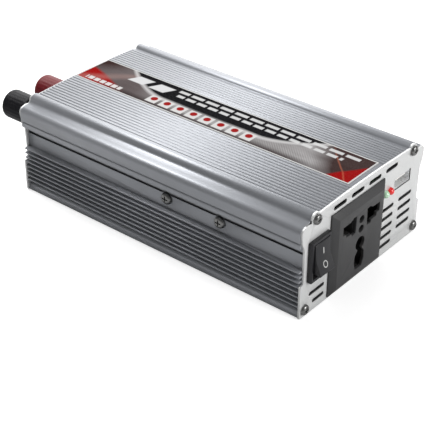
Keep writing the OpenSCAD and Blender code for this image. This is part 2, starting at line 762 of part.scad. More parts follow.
module fan_rotor() {
    color("#232326") translate([fan_x, fan_front, fan_z]) {
        difference() {
            rod_y(0, 0, hub_r, 2, fan_depth - 0.8);
            rod_y(0, 0, hub_r - 1.1, 1, fan_depth - 2);
        }
        rod_y(0, 0, shaft_r, 0.3, fan_depth - 1.6);
        intersection() {
            difference() {
                rod_y(0, 0, fan_bore - 0.7, 2.2, fan_depth - 1);
                rod_y(0, 0, hub_r - 0.4, 0, fan_depth);
            }
            for (i = [0:blade_count - 1]) rotate([0, i * 360 / blade_count, 0])
                translate([13, fan_depth / 2 + 0.6, 0]) rotate([38, 0, 0])
                cube([16, 14, 0.9], center = true);
        }
    }
}

// Wire finger guard: rings, two cross wires and four screw eyes
guard_wire = 0.8;
module ring_y(r, wire_r, y) {
    translate([0, y, 0]) rotate([-90, 0, 0]) rotate_extrude() translate([r, 0])
        circle(r = wire_r, $fn = 16);
}
module fan_guard() {
    color("#d4d6d8") translate([fan_x, rear_y, fan_z]) {
        for (r = [5.5, 10, 14.5, 18.6]) ring_y(r, guard_wire, 2.9);
        for (turn = [45, 135]) rotate([0, turn, 0]) {
            translate([-18.8, 1.7, 0]) rotate([0, 90, 0]) cylinder(r = guard_wire, h = 37.6,
                $fn = 16);
            for (side = [-1, 1]) difference() {
                union() {
                    rod_y(side * fan_hole * sqrt(2), 0, 3.3, 0.02, 1.6);
                    block([min(side * 17.8, side * 20.4), 0.4, -0.8],
                        [max(side * 17.8, side * 20.4), 1.6, 0.8]);
                }
                rod_y(side * fan_hole * sqrt(2), 0, 1.7, -1, 3);
            }
        }
    }
}
module fan_screws() {
    color("#c9c9c4") for (sx = [-1, 1], sz = [-1, 1])
        translate([fan_x + sx * fan_hole, rear_y + 3.2, fan_z + sz * fan_hole])
        mirror([0, 1, 0]) {
            pan_screw(2.7, 1.6 - eps, 1.5, 15.2);
            translate([0, fan_depth + panel_t + 3.3, 0]) rotate([-90, 0, 0]) difference() {
                cylinder(r = 3.1, h = 2.2, $fn = 6);
                translate([0, 0, -1]) cylinder(r = 1.5, h = 4);
            }
        }
}

// ---------- input posts ----------

knob_back = 5.2;       // knob's lower face, out of the rear panel
collar_t = 3;
washer_t = 2;
neck_r = 4.4;
lip_r = 5;

module post_stud(x) {
    difference() {
        rod_y(x, post_z, stud_r, inner_rear - 14, rear_y + 15.4);
        rod_y(x, post_z, 1, rear_y + 14.6, rear_y + 16);
    }
}
module negative_stud() { color("#c9a14a") post_stud(negative_x); }
module positive_stud() { color("#c9a14a") post_stud(positive_x); }

// Insulating collar: an outer flange and a sleeve through the panel
module post_collar(x) {
    difference() {
        union() {
            rod_y(x, post_z, knob_r, rear_y + 0.02, rear_y + collar_t);
            rod_y(x, post_z, 4.5, inner_rear - 0.5, rear_y + 0.1);
        }
        rod_y(x, post_z, stud_r + gap, inner_rear - 4, rear_y + 6);
    }
}
module negative_collar() { color("#1c1c1e") post_collar(negative_x); }
module positive_collar() { color("#8c1f24") post_collar(positive_x); }

// Pressure washer that hangs on the knob's neck and slides with it without turning
module post_washer(x) {
    translate([x, rear_y + collar_t + gap, post_z]) rotate([-90, 0, 0]) rotate_extrude()
        polygon([[lip_r + 0.05, 0], [knob_r - 1, 0], [knob_r - 1, washer_t - 0.1],
            [neck_r + run_gap, washer_t - 0.1], [neck_r + run_gap, 1], [lip_r + 0.05, 1]]);
}
module negative_washer() { color("#c9c9c4") post_washer(negative_x); }
module positive_washer() { color("#c9c9c4") post_washer(positive_x); }

// Fluted knob with a threaded bore, and a lipped neck for the washer
flute_count = 24;
module post_knob(x) {
    nose = rear_y + knob_reach;
    base = rear_y + knob_back;
    translate([x, 0, post_z]) difference() {
        union() {
            translate([0, base, 0]) rotate([-90, 0, 0]) rotate_extrude() polygon(concat(
                [[0, 0], [knob_r - 0.5, 0], [knob_r, 0.5]],
                arc(knob_r - 1.6, nose - base - 1.6, 1.6, 0, 90, 6), [[0, nose - base]]));
            rod_y(0, 0, neck_r, rear_y + collar_t + 0.3, base + 0.1);
            rod_y(0, 0, lip_r - 0.05, rear_y + collar_t + 0.3, rear_y + collar_t + 0.9);
        }
        rod_y(0, 0, stud_r + run_gap, rear_y, rear_y + 15.7);
        for (i = [0:flute_count - 1]) rotate([0, i * 360 / flute_count, 0])
            rod_y(knob_r + 0.45, 0, 0.65, base + 2, nose - 2);
    }
}
module negative_knob() { color("#1c1c1e") post_knob(negative_x); }
module positive_knob() { color("#8c1f24") post_knob(positive_x); }

// Inside the case: insulating ring, ring lug and two nuts on each stud
module post_nuts() {
    color("#c9c9c4") for (x = [negative_x, positive_x]) difference() {
        union() {
            translate([x, inner_rear - 5.2, post_z]) rotate([-90, 0, 0])
                cylinder(r = 5.7, h = 4.5, $fn = 6);
            translate([x, inner_rear - 11.6, post_z]) rotate([-90, 0, 0])
                cylinder(r = 5.7, h = 4.5, $fn = 6);
            rod_y(x, post_z, 5.4, inner_rear - 7, inner_rear - 5.3);
        }
        rod_y(x, post_z, stud_r + 0.01, inner_rear - 20, inner_rear + 1);
    }
}

// ---------- wiring ----------

lug_y = inner_rear - 6.2;
negative_route = [[negative_x, lug_y, post_z - 5.5], [negative_x, lug_y - 0.4, post_z - 9],
    [negative_x + 1, lug_y - 3, 25], [negative_x + 3, lug_y - 7, 17],
    [negative_x + 4, lug_y - 8, board_top + 2], [negative_x + 4, lug_y - 8, board_top + 0.35]];
positive_route = [[positive_x, lug_y, post_z - 5.5], [positive_x, lug_y - 0.4, post_z - 9],
    [positive_x - 1, lug_y - 3, 25], [positive_x - 3, lug_y - 7, 17],
    [positive_x - 4, lug_y - 8, board_top + 2], [positive_x - 4, lug_y - 8, board_top + 0.35]];
module negative_lead() { color("#1c1c1e") wire(negative_route, 2.3, 4, 10); }
module positive_lead() { color("#b01c20") wire(positive_route, 2.3, 4, 10); }

tail_y = front_y + outlet_depth + 6;
module outlet_leads() {
    color("#3566a8") wire([[outlet_x - 10.2, tail_y - 1, outlet_z + 10.9 + 0.6],
        [outlet_x - 10.2, tail_y + 5, outlet_z + 11.5], [outlet_x - 9, tail_y + 10, 28],
        [outlet_x - 6, tail_y + 13, 18], [outlet_x - 6, tail_y + 13, board_top + 0.2]], 1.1, 4);
    color("#7a4a28") wire([[outlet_x + 10.2, tail_y - 1, outlet_z + 10.9 + 0.6],
        [outlet_x + 10.2, tail_y + 5, outlet_z + 11.5], [outlet_x + 9, tail_y + 10, 28],
        [outlet_x + 6, tail_y + 13, 18], [outlet_x + 6, tail_y + 13, board_top + 0.2]], 1.1, 4);
    color("#5f9a3a") wire([[outlet_x, tail_y - 1, outlet_z - 5.7 + 0.6],
        [outlet_x, tail_y + 4, outlet_z - 5], [outlet_x, tail_y + 10, 17],
        [outlet_x, tail_y + 13, 14], [outlet_x, tail_y + 13, board_top + 0.2]], 1.1, 4);
}
switch_tail = front_y + 21;
module switch_leads() {
    color("#b01c20") for (k = [0, 1]) let (z = switch_z + k * 6.6 + 0.9 + 0.5)
        wire([[switch_x, switch_tail - 2, z], [switch_x, switch_tail + 4, z],
            [switch_x + 4 + k * 3, switch_tail + 9, z - 5],
            [switch_x + 8 + k * 3, switch_tail + 13, 18],
            [switch_x + 8 + k * 3, switch_tail + 13, board_top + 0.2]], 0.9, 4);
}
module fan_leads() {
    color("#b01c20") for (k = [0, 1]) wire([[fan_x - 2 + k * 3, fan_front - 0.4, fan_z - 4],
        [fan_x - 2 + k * 3, fan_front - 2.4, fan_z - 6],
        [fan_x - 3 + k * 3, fan_front - 4, 15],
        [fan_x - 3 + k * 3, fan_front - 5.5, board_top + 1],
        [fan_x - 3 + k * 3, fan_front - 5.5, board_top + 0.2]], 0.6, 4);
}

upper_shell();
base_plate();
front_panel();
rear_panel();
panel_screws();
rear_screws();
side_screws();
label_sheet();
outlet_cover();
outlet_body();
line_contact();
neutral_contact();
earth_contact();
switch_housing();
switch_rocker();
switch_plunger();
switch_blade();
switch_terminals();
usb_shell();
usb_tongue();
red_led();
green_led();
led_legs();
indicator_board();
main_board();
transformer_cores();
transformer_bobbins();
transformer_tape();
input_capacitors();
bus_capacitor();
choke_core();
choke_winding();
input_transistors();
output_transistors();
transistor_legs();
clamp_bars();
insulating_pads();
blade_fuses();
fuse_holders();
control_board();
control_chips();
buzzer();
fan_frame();
fan_rotor();
fan_guard();
fan_screws();
fan_leads();
negative_stud();
negative_collar();
negative_washer();
negative_knob();
positive_stud();
positive_collar();
positive_washer();
positive_knob();
post_nuts();
negative_lead();
positive_lead();
outlet_leads();
switch_leads();
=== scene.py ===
"""Looks of a small power inverter: a satin aluminium case with a printed label, light end panels,
a universal outlet, a rocker switch, a USB socket, two indicators, a cooling fan and two posts."""

import json
import math

import bmesh
import bpy
from mathutils import Matrix, Vector


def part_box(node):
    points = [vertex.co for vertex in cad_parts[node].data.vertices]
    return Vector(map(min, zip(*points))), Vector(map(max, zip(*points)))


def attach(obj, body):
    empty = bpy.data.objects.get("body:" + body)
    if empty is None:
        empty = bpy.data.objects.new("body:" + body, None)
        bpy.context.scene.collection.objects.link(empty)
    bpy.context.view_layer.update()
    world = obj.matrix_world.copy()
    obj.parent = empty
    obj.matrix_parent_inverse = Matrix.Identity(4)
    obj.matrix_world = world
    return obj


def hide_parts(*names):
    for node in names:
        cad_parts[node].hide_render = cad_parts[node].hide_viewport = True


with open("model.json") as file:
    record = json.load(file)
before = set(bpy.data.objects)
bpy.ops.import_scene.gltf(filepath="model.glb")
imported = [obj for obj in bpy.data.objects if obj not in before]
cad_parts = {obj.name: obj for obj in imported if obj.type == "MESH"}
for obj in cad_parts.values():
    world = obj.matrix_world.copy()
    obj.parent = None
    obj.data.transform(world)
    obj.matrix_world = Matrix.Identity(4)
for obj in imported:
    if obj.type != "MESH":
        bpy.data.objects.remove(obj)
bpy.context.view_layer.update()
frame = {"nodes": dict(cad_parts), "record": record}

MM = 0.001
SLOT_OF = {part["node"]: part["material_slot"] for part in frame["record"]["subparts"]}
BODY_OF = {n: b for b, ns in frame["record"]["behaviour"]["bodies"].items() for n in ns}


def span(node):
    """Lowest and highest corner of a CAD node, in millimetres."""
    low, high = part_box(node)
    return low / MM, high / MM


def middle(node):
    low, high = span(node)
    return (low + high) / 2


# Places taken from the frame. Sizes are in millimetres: X across, Y along and Z up.
FRONT_Y = span("front_panel")[0].y
SHELL_LOW, SHELL_HIGH = span("upper_shell")
LABEL_LOW, LABEL_HIGH = span("label_sheet")
SWITCH = middle("switch_housing")
HALF_W = SHELL_HIGH.x

# Top of the case
TOP_Z = 50.4             # height of the top along its edges
CROWN = 0.9              # extra height in the middle
RIB_FROM = 35.6          # where the ribs start, from the middle
RIB_PITCH = 2.1
RIB_SIDE = [(0, 0.45), (0.42, 0.43), (0.66, 0.38), (0.8, 0.27), (0.9, 0.1)]
BEAD = (38.6, 48.8, 3.2)  # X, Z and radius of the round bead beside the ribs

# Flank, from the hollow beside the bead to the recessed band and the fins
SHOULDER_FILLET = [(3.12, 49.5), (3.4, 49.06), (3.8, 48.73), (4.3, 48.49), (4.9, 48.31),
                   (5.6, 48.15), (6.3, 48.0)]
SHOULDER_Z, SHOULDER_R = 44.75, 3.3
CREASE_Z = 40.2
LIP_Z, LIP_R = 37.3, 0.5
BAND_TOP = 36.4
ROOT_X = HALF_W - 4.2    # the band, and the roots of the fins
SLIT_LOW, SLIT_HIGH, SLIT_DEPTH = 32.6, 34.0, 0.75
FIN_COUNT, FIN_TOP_Z, FIN_PITCH = 8, 24.7, 2.56
FIN_TIP = HALF_W - 0.9

# Inside of the case
INNER_X = ROOT_X - 1.8
RAIL = 1.4               # depth of the two rails that hold the main board
FOOT_OUT = HALF_W - 1.9
FOOT_IN = span("base_plate")[1].x - 1.3
BASE_GROOVE = 1.6

# Round seats of the side screws
SEAT_OUT, SEAT_IN, SEAT_DEPTH = 4.4, 3.2, 0.7
SEAT_Z = 30.0
SIDE_HEAD_R = 3.0

# Printed film: its underside and upper side over the top of the case
FILM_UNDER, FILM_OVER = 0.03, 0.26

# Knobs: lip against the washer, neck, grip, and the bore for the stud
BORE_R, BORE_DEPTH = 3.06, 12.4
KNOB_LIP_R, KNOB_LIP_LONG = 4.95, 0.55
KNOB_NECK_R, KNOB_NECK_LONG = 4.4, 1.9
KNOB_NOSE_R = 2.2
FLUTE_COUNT, FLUTE_DEPTH = 24, 0.09


# ---------- arithmetic on a surface ----------


def feed(tree, socket, value):
    """Join a field or a socket to an input, or set the input's own number or colour."""
    if isinstance(value, Field):
        value = value.source
    if isinstance(value, bpy.types.NodeSocket):
        tree.links.new(value, socket)
    elif isinstance(value, (tuple, list)) and len(value) == 3 and socket.type == "RGBA":
        socket.default_value = (*value, 1.0)
    else:
        socket.default_value = value


class Field:
    """A number that changes over a surface, with ordinary arithmetic on it."""

    def __init__(self, tree, source):
        self.tree, self.source = tree, source

    def _made(self, operation, *values, clamp=False):
        made = self.tree.nodes.new("ShaderNodeMath")
        made.operation, made.use_clamp = operation, clamp
        for place, value in enumerate(values):
            feed(self.tree, made.inputs[place], value)
        return Field(self.tree, made.outputs[0])

    def __add__(self, other):
        return self._made("ADD", self, other)

    def __sub__(self, other):
        return self._made("SUBTRACT", self, other)

    def __rsub__(self, other):
        return self._made("SUBTRACT", other, self)

    def __mul__(self, other):
        return self._made("MULTIPLY", self, other)

    def __truediv__(self, other):
        return self._made("DIVIDE", self, other)

    __radd__, __rmul__ = __add__, __mul__

    def size(self):
        return self._made("ABSOLUTE", self)

    def power(self, exponent):
        return self._made("POWER", self, exponent)

    def sine(self):
        return self._made("SINE", self)

    def repeat(self, length):
        return self._made("FLOORED_MODULO", self, length)

    def either(self, other):
        return self._made("MAXIMUM", self, other)

    def above(self, edge, soft=0.05):
        """1 where this is over edge, 0 where it is under, with a soft step."""
        return self._made("MULTIPLY_ADD", self - edge, 0.5 / soft, 0.5, clamp=True)

    def below(self, edge, soft=0.05):
        return 1.0 - self.above(edge, soft)

    def between(self, low, high, soft=0.05):
        return self.above(low, soft) * self.below(high, soft)


def node(tree, kind, inputs=None, **settings):
    """A new shader node with its settings, and its inputs by name or place."""
    made = tree.nodes.new("ShaderNode" + kind)
    for key, value in settings.items():
        setattr(made, key, value)
    for key, value in (inputs or {}).items():
        feed(tree, made.inputs[key], value)
    return made


def mixed(tree, share, first, second):
    """Colour that goes from first to second as share goes from 0 to 1."""
    made = node(tree, "Mix", {0: share, 6: first, 7: second}, data_type="RGBA")
    return made.outputs[2]


def noise(tree, vector, scale, detail=3.0, roughness=0.5):
    made = node(tree, "TexNoise", {"Vector": vector, "Scale": scale, "Detail": detail,
                                   "Roughness": roughness})
    return Field(tree, made.outputs["Fac"])


def stretched(tree, vector, x, y, z):
    made = node(tree, "VectorMath", {0: vector, 1: (x, y, z)}, operation="MULTIPLY")
    return made.outputs[0]


def parts_of(tree, vector):
    """The X, Y and Z of a vector, in millimetres."""
    made = node(tree, "SeparateXYZ", {0: vector})
    return [Field(tree, out) * (1 / MM) for out in made.outputs]


# ---------- shared effects ----------


def effect(name, inputs, outputs):
    """An empty node group with named inputs (name: socket kind, default) and value outputs."""
    tree = bpy.data.node_groups.new(name, "ShaderNodeTree")
    for key, (kind, default) in inputs.items():
        socket = tree.interface.new_socket(key, in_out="INPUT", socket_type="NodeSocket" + kind)
        if default is not None:
            socket.default_value = default
    for key in outputs:
        tree.interface.new_socket(key, in_out="OUTPUT", socket_type="NodeSocketFloat")
    entry, leave = tree.nodes.new("NodeGroupInput"), tree.nodes.new("NodeGroupOutput")
    return tree, entry.outputs, leave.inputs


def make_drawn_lines():
    """Fine lines along the length, as a die leaves them on an extrusion."""
    tree, given, result = effect("drawn_lines", {"Vector": ("Vector", None)}, ["Lines", "Cloud"])
    fine = noise(tree, stretched(tree, given["Vector"], 3800, 18, 3800), 1.0, 2.0)
    wide = noise(tree, stretched(tree, given["Vector"], 700, 5, 700), 1.0, 2.0)
    cloud = noise(tree, stretched(tree, given["Vector"], 60, 22, 60), 1.0, 3.0)
    feed(tree, result["Lines"], fine * 0.6 + wide * 0.4)
    feed(tree, result["Cloud"], cloud)
    return tree


def make_moulded_grain():
    """The fine pebbled grain of moulded plastic and powder paint, with a slow mottle."""
    tree, given, result = effect(
        "moulded_grain", {"Vector": ("Vector", None), "Size": ("Float", 2500.0)},
        ["Grain", "Mottle"])
    fine = noise(tree, given["Vector"], given["Size"], 2.0, 0.6)
    cells = node(tree, "TexVoronoi", {"Vector": given["Vector"], "Scale": given["Size"]},
                 feature="SMOOTH_F1")
    slow = noise(tree, given["Vector"], 90.0, 4.0, 0.6)
    feed(tree, result["Grain"], fine * 0.5 + Field(tree, cells.outputs["Distance"]) * 0.5)
    feed(tree, result["Mottle"], slow)
    return tree


def make_edge_rub():
    """Where a corner is rubbed: the rounded normal turns away from the real one."""
    tree, given, result = effect(
        "edge_rub", {"Vector": ("Vector", None), "Reach": ("Float", 0.0003)}, ["Rub"])
    rounded = node(tree, "Bevel", {"Radius": given["Reach"]}, samples=4)
    real = node(tree, "NewGeometry")
    turn = node(tree, "VectorMath", {0: rounded.outputs[0], 1: real.outputs["Normal"]},
                operation="DOT_PRODUCT")
    patches = noise(tree, given["Vector"], 420.0, 3.0, 0.65)
    bend = 1.0 - Field(tree, turn.outputs["Value"])
    feed(tree, result["Rub"], bend.above(0.12, 0.1) * patches.above(0.48, 0.12))
    return tree


def make_settled_dust():
    """Dust that has settled on faces that look up."""
    tree, given, result = effect(
        "settled_dust", {"Vector": ("Vector", None), "Amount": ("Float", 0.1)}, ["Dust"])
    up = node(tree, "SeparateXYZ", {0: node(tree, "NewGeometry").outputs["Normal"]})
    specks = noise(tree, given["Vector"], 1500.0, 4.0, 0.7)
    lift = Field(tree, up.outputs["Z"]).above(0.5, 0.35)
    feed(tree, result["Dust"], lift * specks.above(0.56, 0.12) * Field(tree, given["Amount"]))
    return tree


DRAWN_LINES = make_drawn_lines()
MOULDED_GRAIN = make_moulded_grain()
EDGE_RUB = make_edge_rub()
SETTLED_DUST = make_settled_dust()


def placed(tree, group, inputs):
    """A shared effect placed in a material; its outputs by name, as fields."""
    made = tree.nodes.new("ShaderNodeGroup")
    made.node_tree = group
    for key, value in inputs.items():
        feed(tree, made.inputs[key], value)
    return {out.name: Field(tree, out) for out in made.outputs}


# ---------- finishes ----------

FINISHES = {}


def finish_start(name):
    material = bpy.data.materials.new(name)
    material.use_nodes = True
    FINISHES[name] = material
    tree = material.node_tree
    shader = tree.nodes["Principled BSDF"]
    where = node(tree, "TexCoord").outputs["Object"]
    return tree, shader, where


def set_shader(tree, shader, **values):
    for key, value in values.items():
        feed(tree, shader.inputs[key.replace("_", " ").title().replace("Ior", "IOR")], value)


def bumped(tree, shader, height, distance):
    made = node(tree, "Bump", {"Height": height, "Distance": distance * MM})
    feed(tree, shader.inputs["Normal"], made.outputs[0])


def shade(colour, by):
    """A colour made lighter (above 1) or darker (below 1)."""
    return tuple(min(1.0, c * by) for c in colour)


def moulded(name, colour, roughness, size=2600.0, bump=0.02, coat=0.0, rub=0.3, specular=0.3):
    """Moulded plastic: fine grain, slow mottle, rubbed corners and a little dust."""
    tree, shader, where = finish_start(name)
    grain = placed(tree, MOULDED_GRAIN, {"Vector": where, "Size": size})
    edge = placed(tree, EDGE_RUB, {"Vector": where, "Reach": 0.25 * MM})["Rub"]
    specks = placed(tree, SETTLED_DUST, {"Vector": where, "Amount": 0.05})["Dust"]
    base = mixed(tree, grain["Mottle"], shade(colour, 0.8), shade(colour, 1.25))
    base = mixed(tree, grain["Grain"] * 0.25, base, shade(colour, 1.5))
    base = mixed(tree, edge * rub, base, tuple(min(1, c * 2.2 + 0.03) for c in colour))
    base = mixed(tree, specks, base, (0.45, 0.43, 0.4))
    feed(tree, shader.inputs["Base Color"], base)
    rough = grain["Mottle"] * 0.16 + grain["Grain"] * 0.08 + (roughness - 0.12)
    feed(tree, shader.inputs["Roughness"], rough - edge * 0.08 + specks * 0.5)
    set_shader(tree, shader, coat_weight=coat, coat_roughness=0.12, specular_ior_level=specular)
    bumped(tree, shader, grain["Grain"], bump)


def metal(name, colour, roughness, lines=0.0, bump=0.006, metallic=1.0, stain=0.15):
    """Bare or plated metal: drawing lines or a fine mottle, and clean rubbed corners."""
    tree, shader, where = finish_start(name)
    drawn = placed(tree, DRAWN_LINES, {"Vector": where})
    grain = placed(tree, MOULDED_GRAIN, {"Vector": where, "Size": 1900.0})
    edge = placed(tree, EDGE_RUB, {"Vector": where, "Reach": 0.2 * MM})["Rub"]
    tone = drawn["Lines"] * lines + grain["Mottle"] * (1.0 - lines)
    base = mixed(tree, tone, shade(colour, 1.0 - stain), shade(colour, 1.0 + stain))
    base = mixed(tree, edge * 0.5, base, shade(colour, 1.25))
    feed(tree, shader.inputs["Base Color"], base)
    rough = tone * 0.2 + grain["Grain"] * 0.06 + (roughness - 0.13)
    feed(tree, shader.inputs["Roughness"], rough - edge * 0.06)
    set_shader(tree, shader, metallic=metallic)
    bumped(tree, shader, drawn["Lines"] * lines + grain["Grain"] * (1.0 - lines), bump)


def make_case_aluminium():
    """Silver anodised extrusion: a soft sheen, with die lines and a faint cloud, and painted shade
    in the slit along the band and in the crease.
    """
    colour = (0.285, 0.295, 0.317)
    tree, shader, where = finish_start("satin_aluminium")
    drawn = placed(tree, DRAWN_LINES, {"Vector": where})
    grain = placed(tree, MOULDED_GRAIN, {"Vector": where, "Size": 3400.0})
    edge = placed(tree, EDGE_RUB, {"Vector": where, "Reach": 0.18 * MM})["Rub"]
    specks = placed(tree, SETTLED_DUST, {"Vector": where, "Amount": 0.06})["Dust"]
    base = mixed(tree, drawn["Lines"], shade(colour, 0.9), shade(colour, 1.08))
    base = mixed(tree, drawn["Cloud"] * 0.4, base, shade(colour, 0.93))
    base = mixed(tree, edge * 0.35, base, (0.86, 0.87, 0.88))
    base = mixed(tree, specks, base, (0.5, 0.49, 0.47))
    x, _, z = parts_of(tree, where)
    # Painted shade in the slit along the band, and in the crease of the shoulder
    slit_shade = x.size().between(ROOT_X - 1.0, ROOT_X - 0.15, 0.1)
    slit_shade = slit_shade * z.between(SLIT_LOW - 0.1, SLIT_HIGH + 0.2, 0.1)
    crease = z.between(CREASE_Z - 0.35, CREASE_Z + 0.45, 0.2) * x.size().above(HALF_W - 1.0, 0.1)
    base = mixed(tree, (slit_shade * 0.8).either(crease * 0.45), base, (0.03, 0.03, 0.032))
    feed(tree, shader.inputs["Base Color"], base)
    feed(tree, shader.inputs["Roughness"],
         drawn["Lines"] * 0.14 + grain["Grain"] * 0.08 + drawn["Cloud"] * 0.08 + 0.29)
    set_shader(tree, shader, metallic=0.6)
    bumped(tree, shader, drawn["Lines"] * 0.6 + grain["Grain"] * 0.4, 0.012)


def make_panel_paint():
    """Light silver-white paint on sheet metal: fine metallic flake and orange peel, and painted
    shade in the slots.
    """
    tree, shader, where = finish_start("panel_paint")
    grain = placed(tree, MOULDED_GRAIN, {"Vector": where, "Size": 4200.0})
    edge = placed(tree, EDGE_RUB, {"Vector": where, "Reach": 0.2 * MM})["Rub"]
    flake = noise(tree, where, 5200.0, 1.0)
    base = mixed(tree, grain["Mottle"], (0.55, 0.56, 0.56), (0.64, 0.64, 0.635))
    base = mixed(tree, flake.above(0.62, 0.06) * 0.5, base, (0.78, 0.78, 0.79))
    base = mixed(tree, edge * 0.5, base, (0.55, 0.55, 0.56))
    # The cut edges of the front panel's slots, behind its face, are bare, and painted shade makes
    # them and the insides of the slots dark
    x, y, z = parts_of(tree, where)
    cut = y.between(FRONT_Y + 0.2, FRONT_Y + 2.0, 0.05) * x.size().below(HALF_W - 3.6, 0.2)
    cut = cut * z.between(3.0, TOP_Z - 1.2, 0.2)
    base = mixed(tree, cut * 0.9, base, (0.05, 0.05, 0.05))
    feed(tree, shader.inputs["Base Color"], base)
    feed(tree, shader.inputs["Roughness"], grain["Mottle"] * 0.12 + grain["Grain"] * 0.08 + 0.30)
    set_shader(tree, shader, metallic=0.25)
    bumped(tree, shader, grain["Grain"] + grain["Mottle"] * 0.5, 0.008)


def make_label_print():
    """Glossy film with a plain printed pattern: swooshes, a dark field, bars and small tiles."""
    tree, shader, where = finish_start("label_print")
    x, y, _ = parts_of(tree, where)
    along = y - LABEL_LOW.y           # from the front edge
    across = x - LABEL_LOW.x          # from the left edge
    width = LABEL_HIGH.x - LABEL_LOW.x
    length = LABEL_HIGH.y - LABEL_LOW.y
    drift = noise(tree, stretched(tree, where, 60, 25, 60), 1.0, 3.0) - 0.5

    silver = noise(tree, stretched(tree, where, 120, 30, 120), 1.0, 4.0)
    base = mixed(tree, silver, (0.12, 0.11, 0.11), (0.72, 0.70, 0.70))

    # Fine dots towards the front
    dots = (x * 4.2).sine() * (y * 4.2).sine()
    dots = dots.above(0.2, 0.2) * along.between(22, 56, 10) * across.below(11, 4)
    base = mixed(tree, dots * 0.5, base, (0.12, 0.11, 0.11))

    # Brown shadows at both ends, and bright red corners along the left edge
    rear = along - length
    brown_rear = (rear * 0.55 + across + drift * 12).above(13.5, 5) * rear.above(-18, 8)
    base = mixed(tree, rear.above(-50.0, 14.0) * 0.8, base, (0.10, 0.07, 0.07))
    base = mixed(tree, brown_rear * 0.9, base, (0.045, 0.018, 0.016))
    red_rear = (rear * 0.42 - across + drift * 6).above(-14.5, 1.2) * rear.above(-27, 6)
    base = mixed(tree, red_rear, base, (0.40, 0.008, 0.008))
    streak = (rear + across * 1.4 + drift * 8).size().below(4.5, 3.0)
    base = mixed(tree, streak * 0.2, base, (0.78, 0.5, 0.45))
    brown_front = (across * 0.62 - along + drift * 12).above(-15.0, 6.0)
    base = mixed(tree, brown_front * 0.93, base, (0.045, 0.016, 0.014))
    red_front = (18.0 - along * 1.35 - across + drift * 5).above(0.0, 1.2)
    base = mixed(tree, red_front, base, (0.40, 0.008, 0.008))
    flare = (along - across * 0.9 - 2.0 + drift * 5).size().below(0.4, 0.5) * along.below(21, 4)
    base = mixed(tree, flare * 0.5, base, (0.75, 0.22, 0.12))
    low_shadow = across.below(3.2, 1.6) * along.between(24, 150, 12)
    base = mixed(tree, low_shadow * 0.85, base, (0.05, 0.035, 0.035))

    # Dark field along the right edge, between two silver sweeps
    centre = (along - 88.0).size()
    rim = ((centre - 30.0).either(0.0) / 34.0).power(1.7) * 18.0
    field = (across - rim + drift * 2.0).above(9.6, 0.9)
    base = mixed(tree, field, base, (0.012, 0.012, 0.014))
    sheen = (across - rim - 8.4).size().below(1.2, 1.0) * centre.between(18, 70, 8)
    base = mixed(tree, sheen * 0.7, base, (0.85, 0.84, 0.84))

    # Two rows of plain bars on the dark field
    bars = None
    for row, low, high, pitch, shift in ((20.6, 6, 116, 9.3, 2.0), (16.2, 14, 114, 7.1, 4.0)):
        step = (along + shift).repeat(pitch)
        bar = (across - row).size().below(1.15, 0.25) * step.below(pitch - 1.6, 0.3)
        bar = bar * along.between(low, high, 0.3)
        bars = bar if bars is None else bars.either(bar)
    base = mixed(tree, bars * 0.9, base, (0.86, 0.86, 0.86))

    # Two slanted blocks at the rear, and a short dashed line in front of the red corner
    row = (across - 17.2).size().below(3.4, 0.3)
    blocks = (rear + 22 + across * 0.5).size().below(5, 0.3)
    blocks = blocks.either((rear + 36 + across * 0.5).size().below(5, 0.3))
    base = mixed(tree, row * blocks, base, (0.85, 0.85, 0.86))
    dashes = (across - 3.6).size().below(1.5, 0.25) * (rear + 17).size().below(12, 0.3)
    dashes = dashes * along.repeat(4.0).below(3.2, 0.2)
    base = mixed(tree, dashes, base, (0.85, 0.83, 0.82))

    # Row of small white tiles with a red disc in each
    tile_from, tile_pitch, tile_half = 56.6, 8.55, 3.3
    step = (along - tile_from).repeat(tile_pitch) - 4.2
    rise = across - 5.6
    tile = step.size().either(rise.size()).below(tile_half, 0.15)
    tile = tile * along.between(tile_from, tile_from + 8 * tile_pitch, 0.1)
    base = mixed(tree, tile, base, (0.86, 0.85, 0.84))
    disc = (step * step + (rise - 0.7) * (rise - 0.7)).below(3.6, 0.8)
    base = mixed(tree, tile * disc, base, (0.42, 0.02, 0.02))

    margin = 0.75
    edge = (across - width / 2).size().above(width / 2 - margin, 0.06)
    edge = edge.either((along - length / 2).size().above(length / 2 - margin, 0.06))
    base = mixed(tree, edge, base, (0.84, 0.84, 0.83))
    grain = placed(tree, MOULDED_GRAIN, {"Vector": where, "Size": 2200.0})
    specks = placed(tree, SETTLED_DUST, {"Vector": where, "Amount": 0.04})["Dust"]
    ink_depth = 0.44      # how far every colour of the print is darkened
    base = mixed(tree, ink_depth, base, (0.0, 0.0, 0.0))
    feed(tree, shader.inputs["Base Color"], mixed(tree, specks, base, (0.3, 0.29, 0.28)))
    feed(tree, shader.inputs["Roughness"], grain["Mottle"] * 0.1 + 0.5)
    set_shader(tree, shader, specular_ior_level=0.0)
    bumped(tree, shader, grain["Mottle"], 0.01)


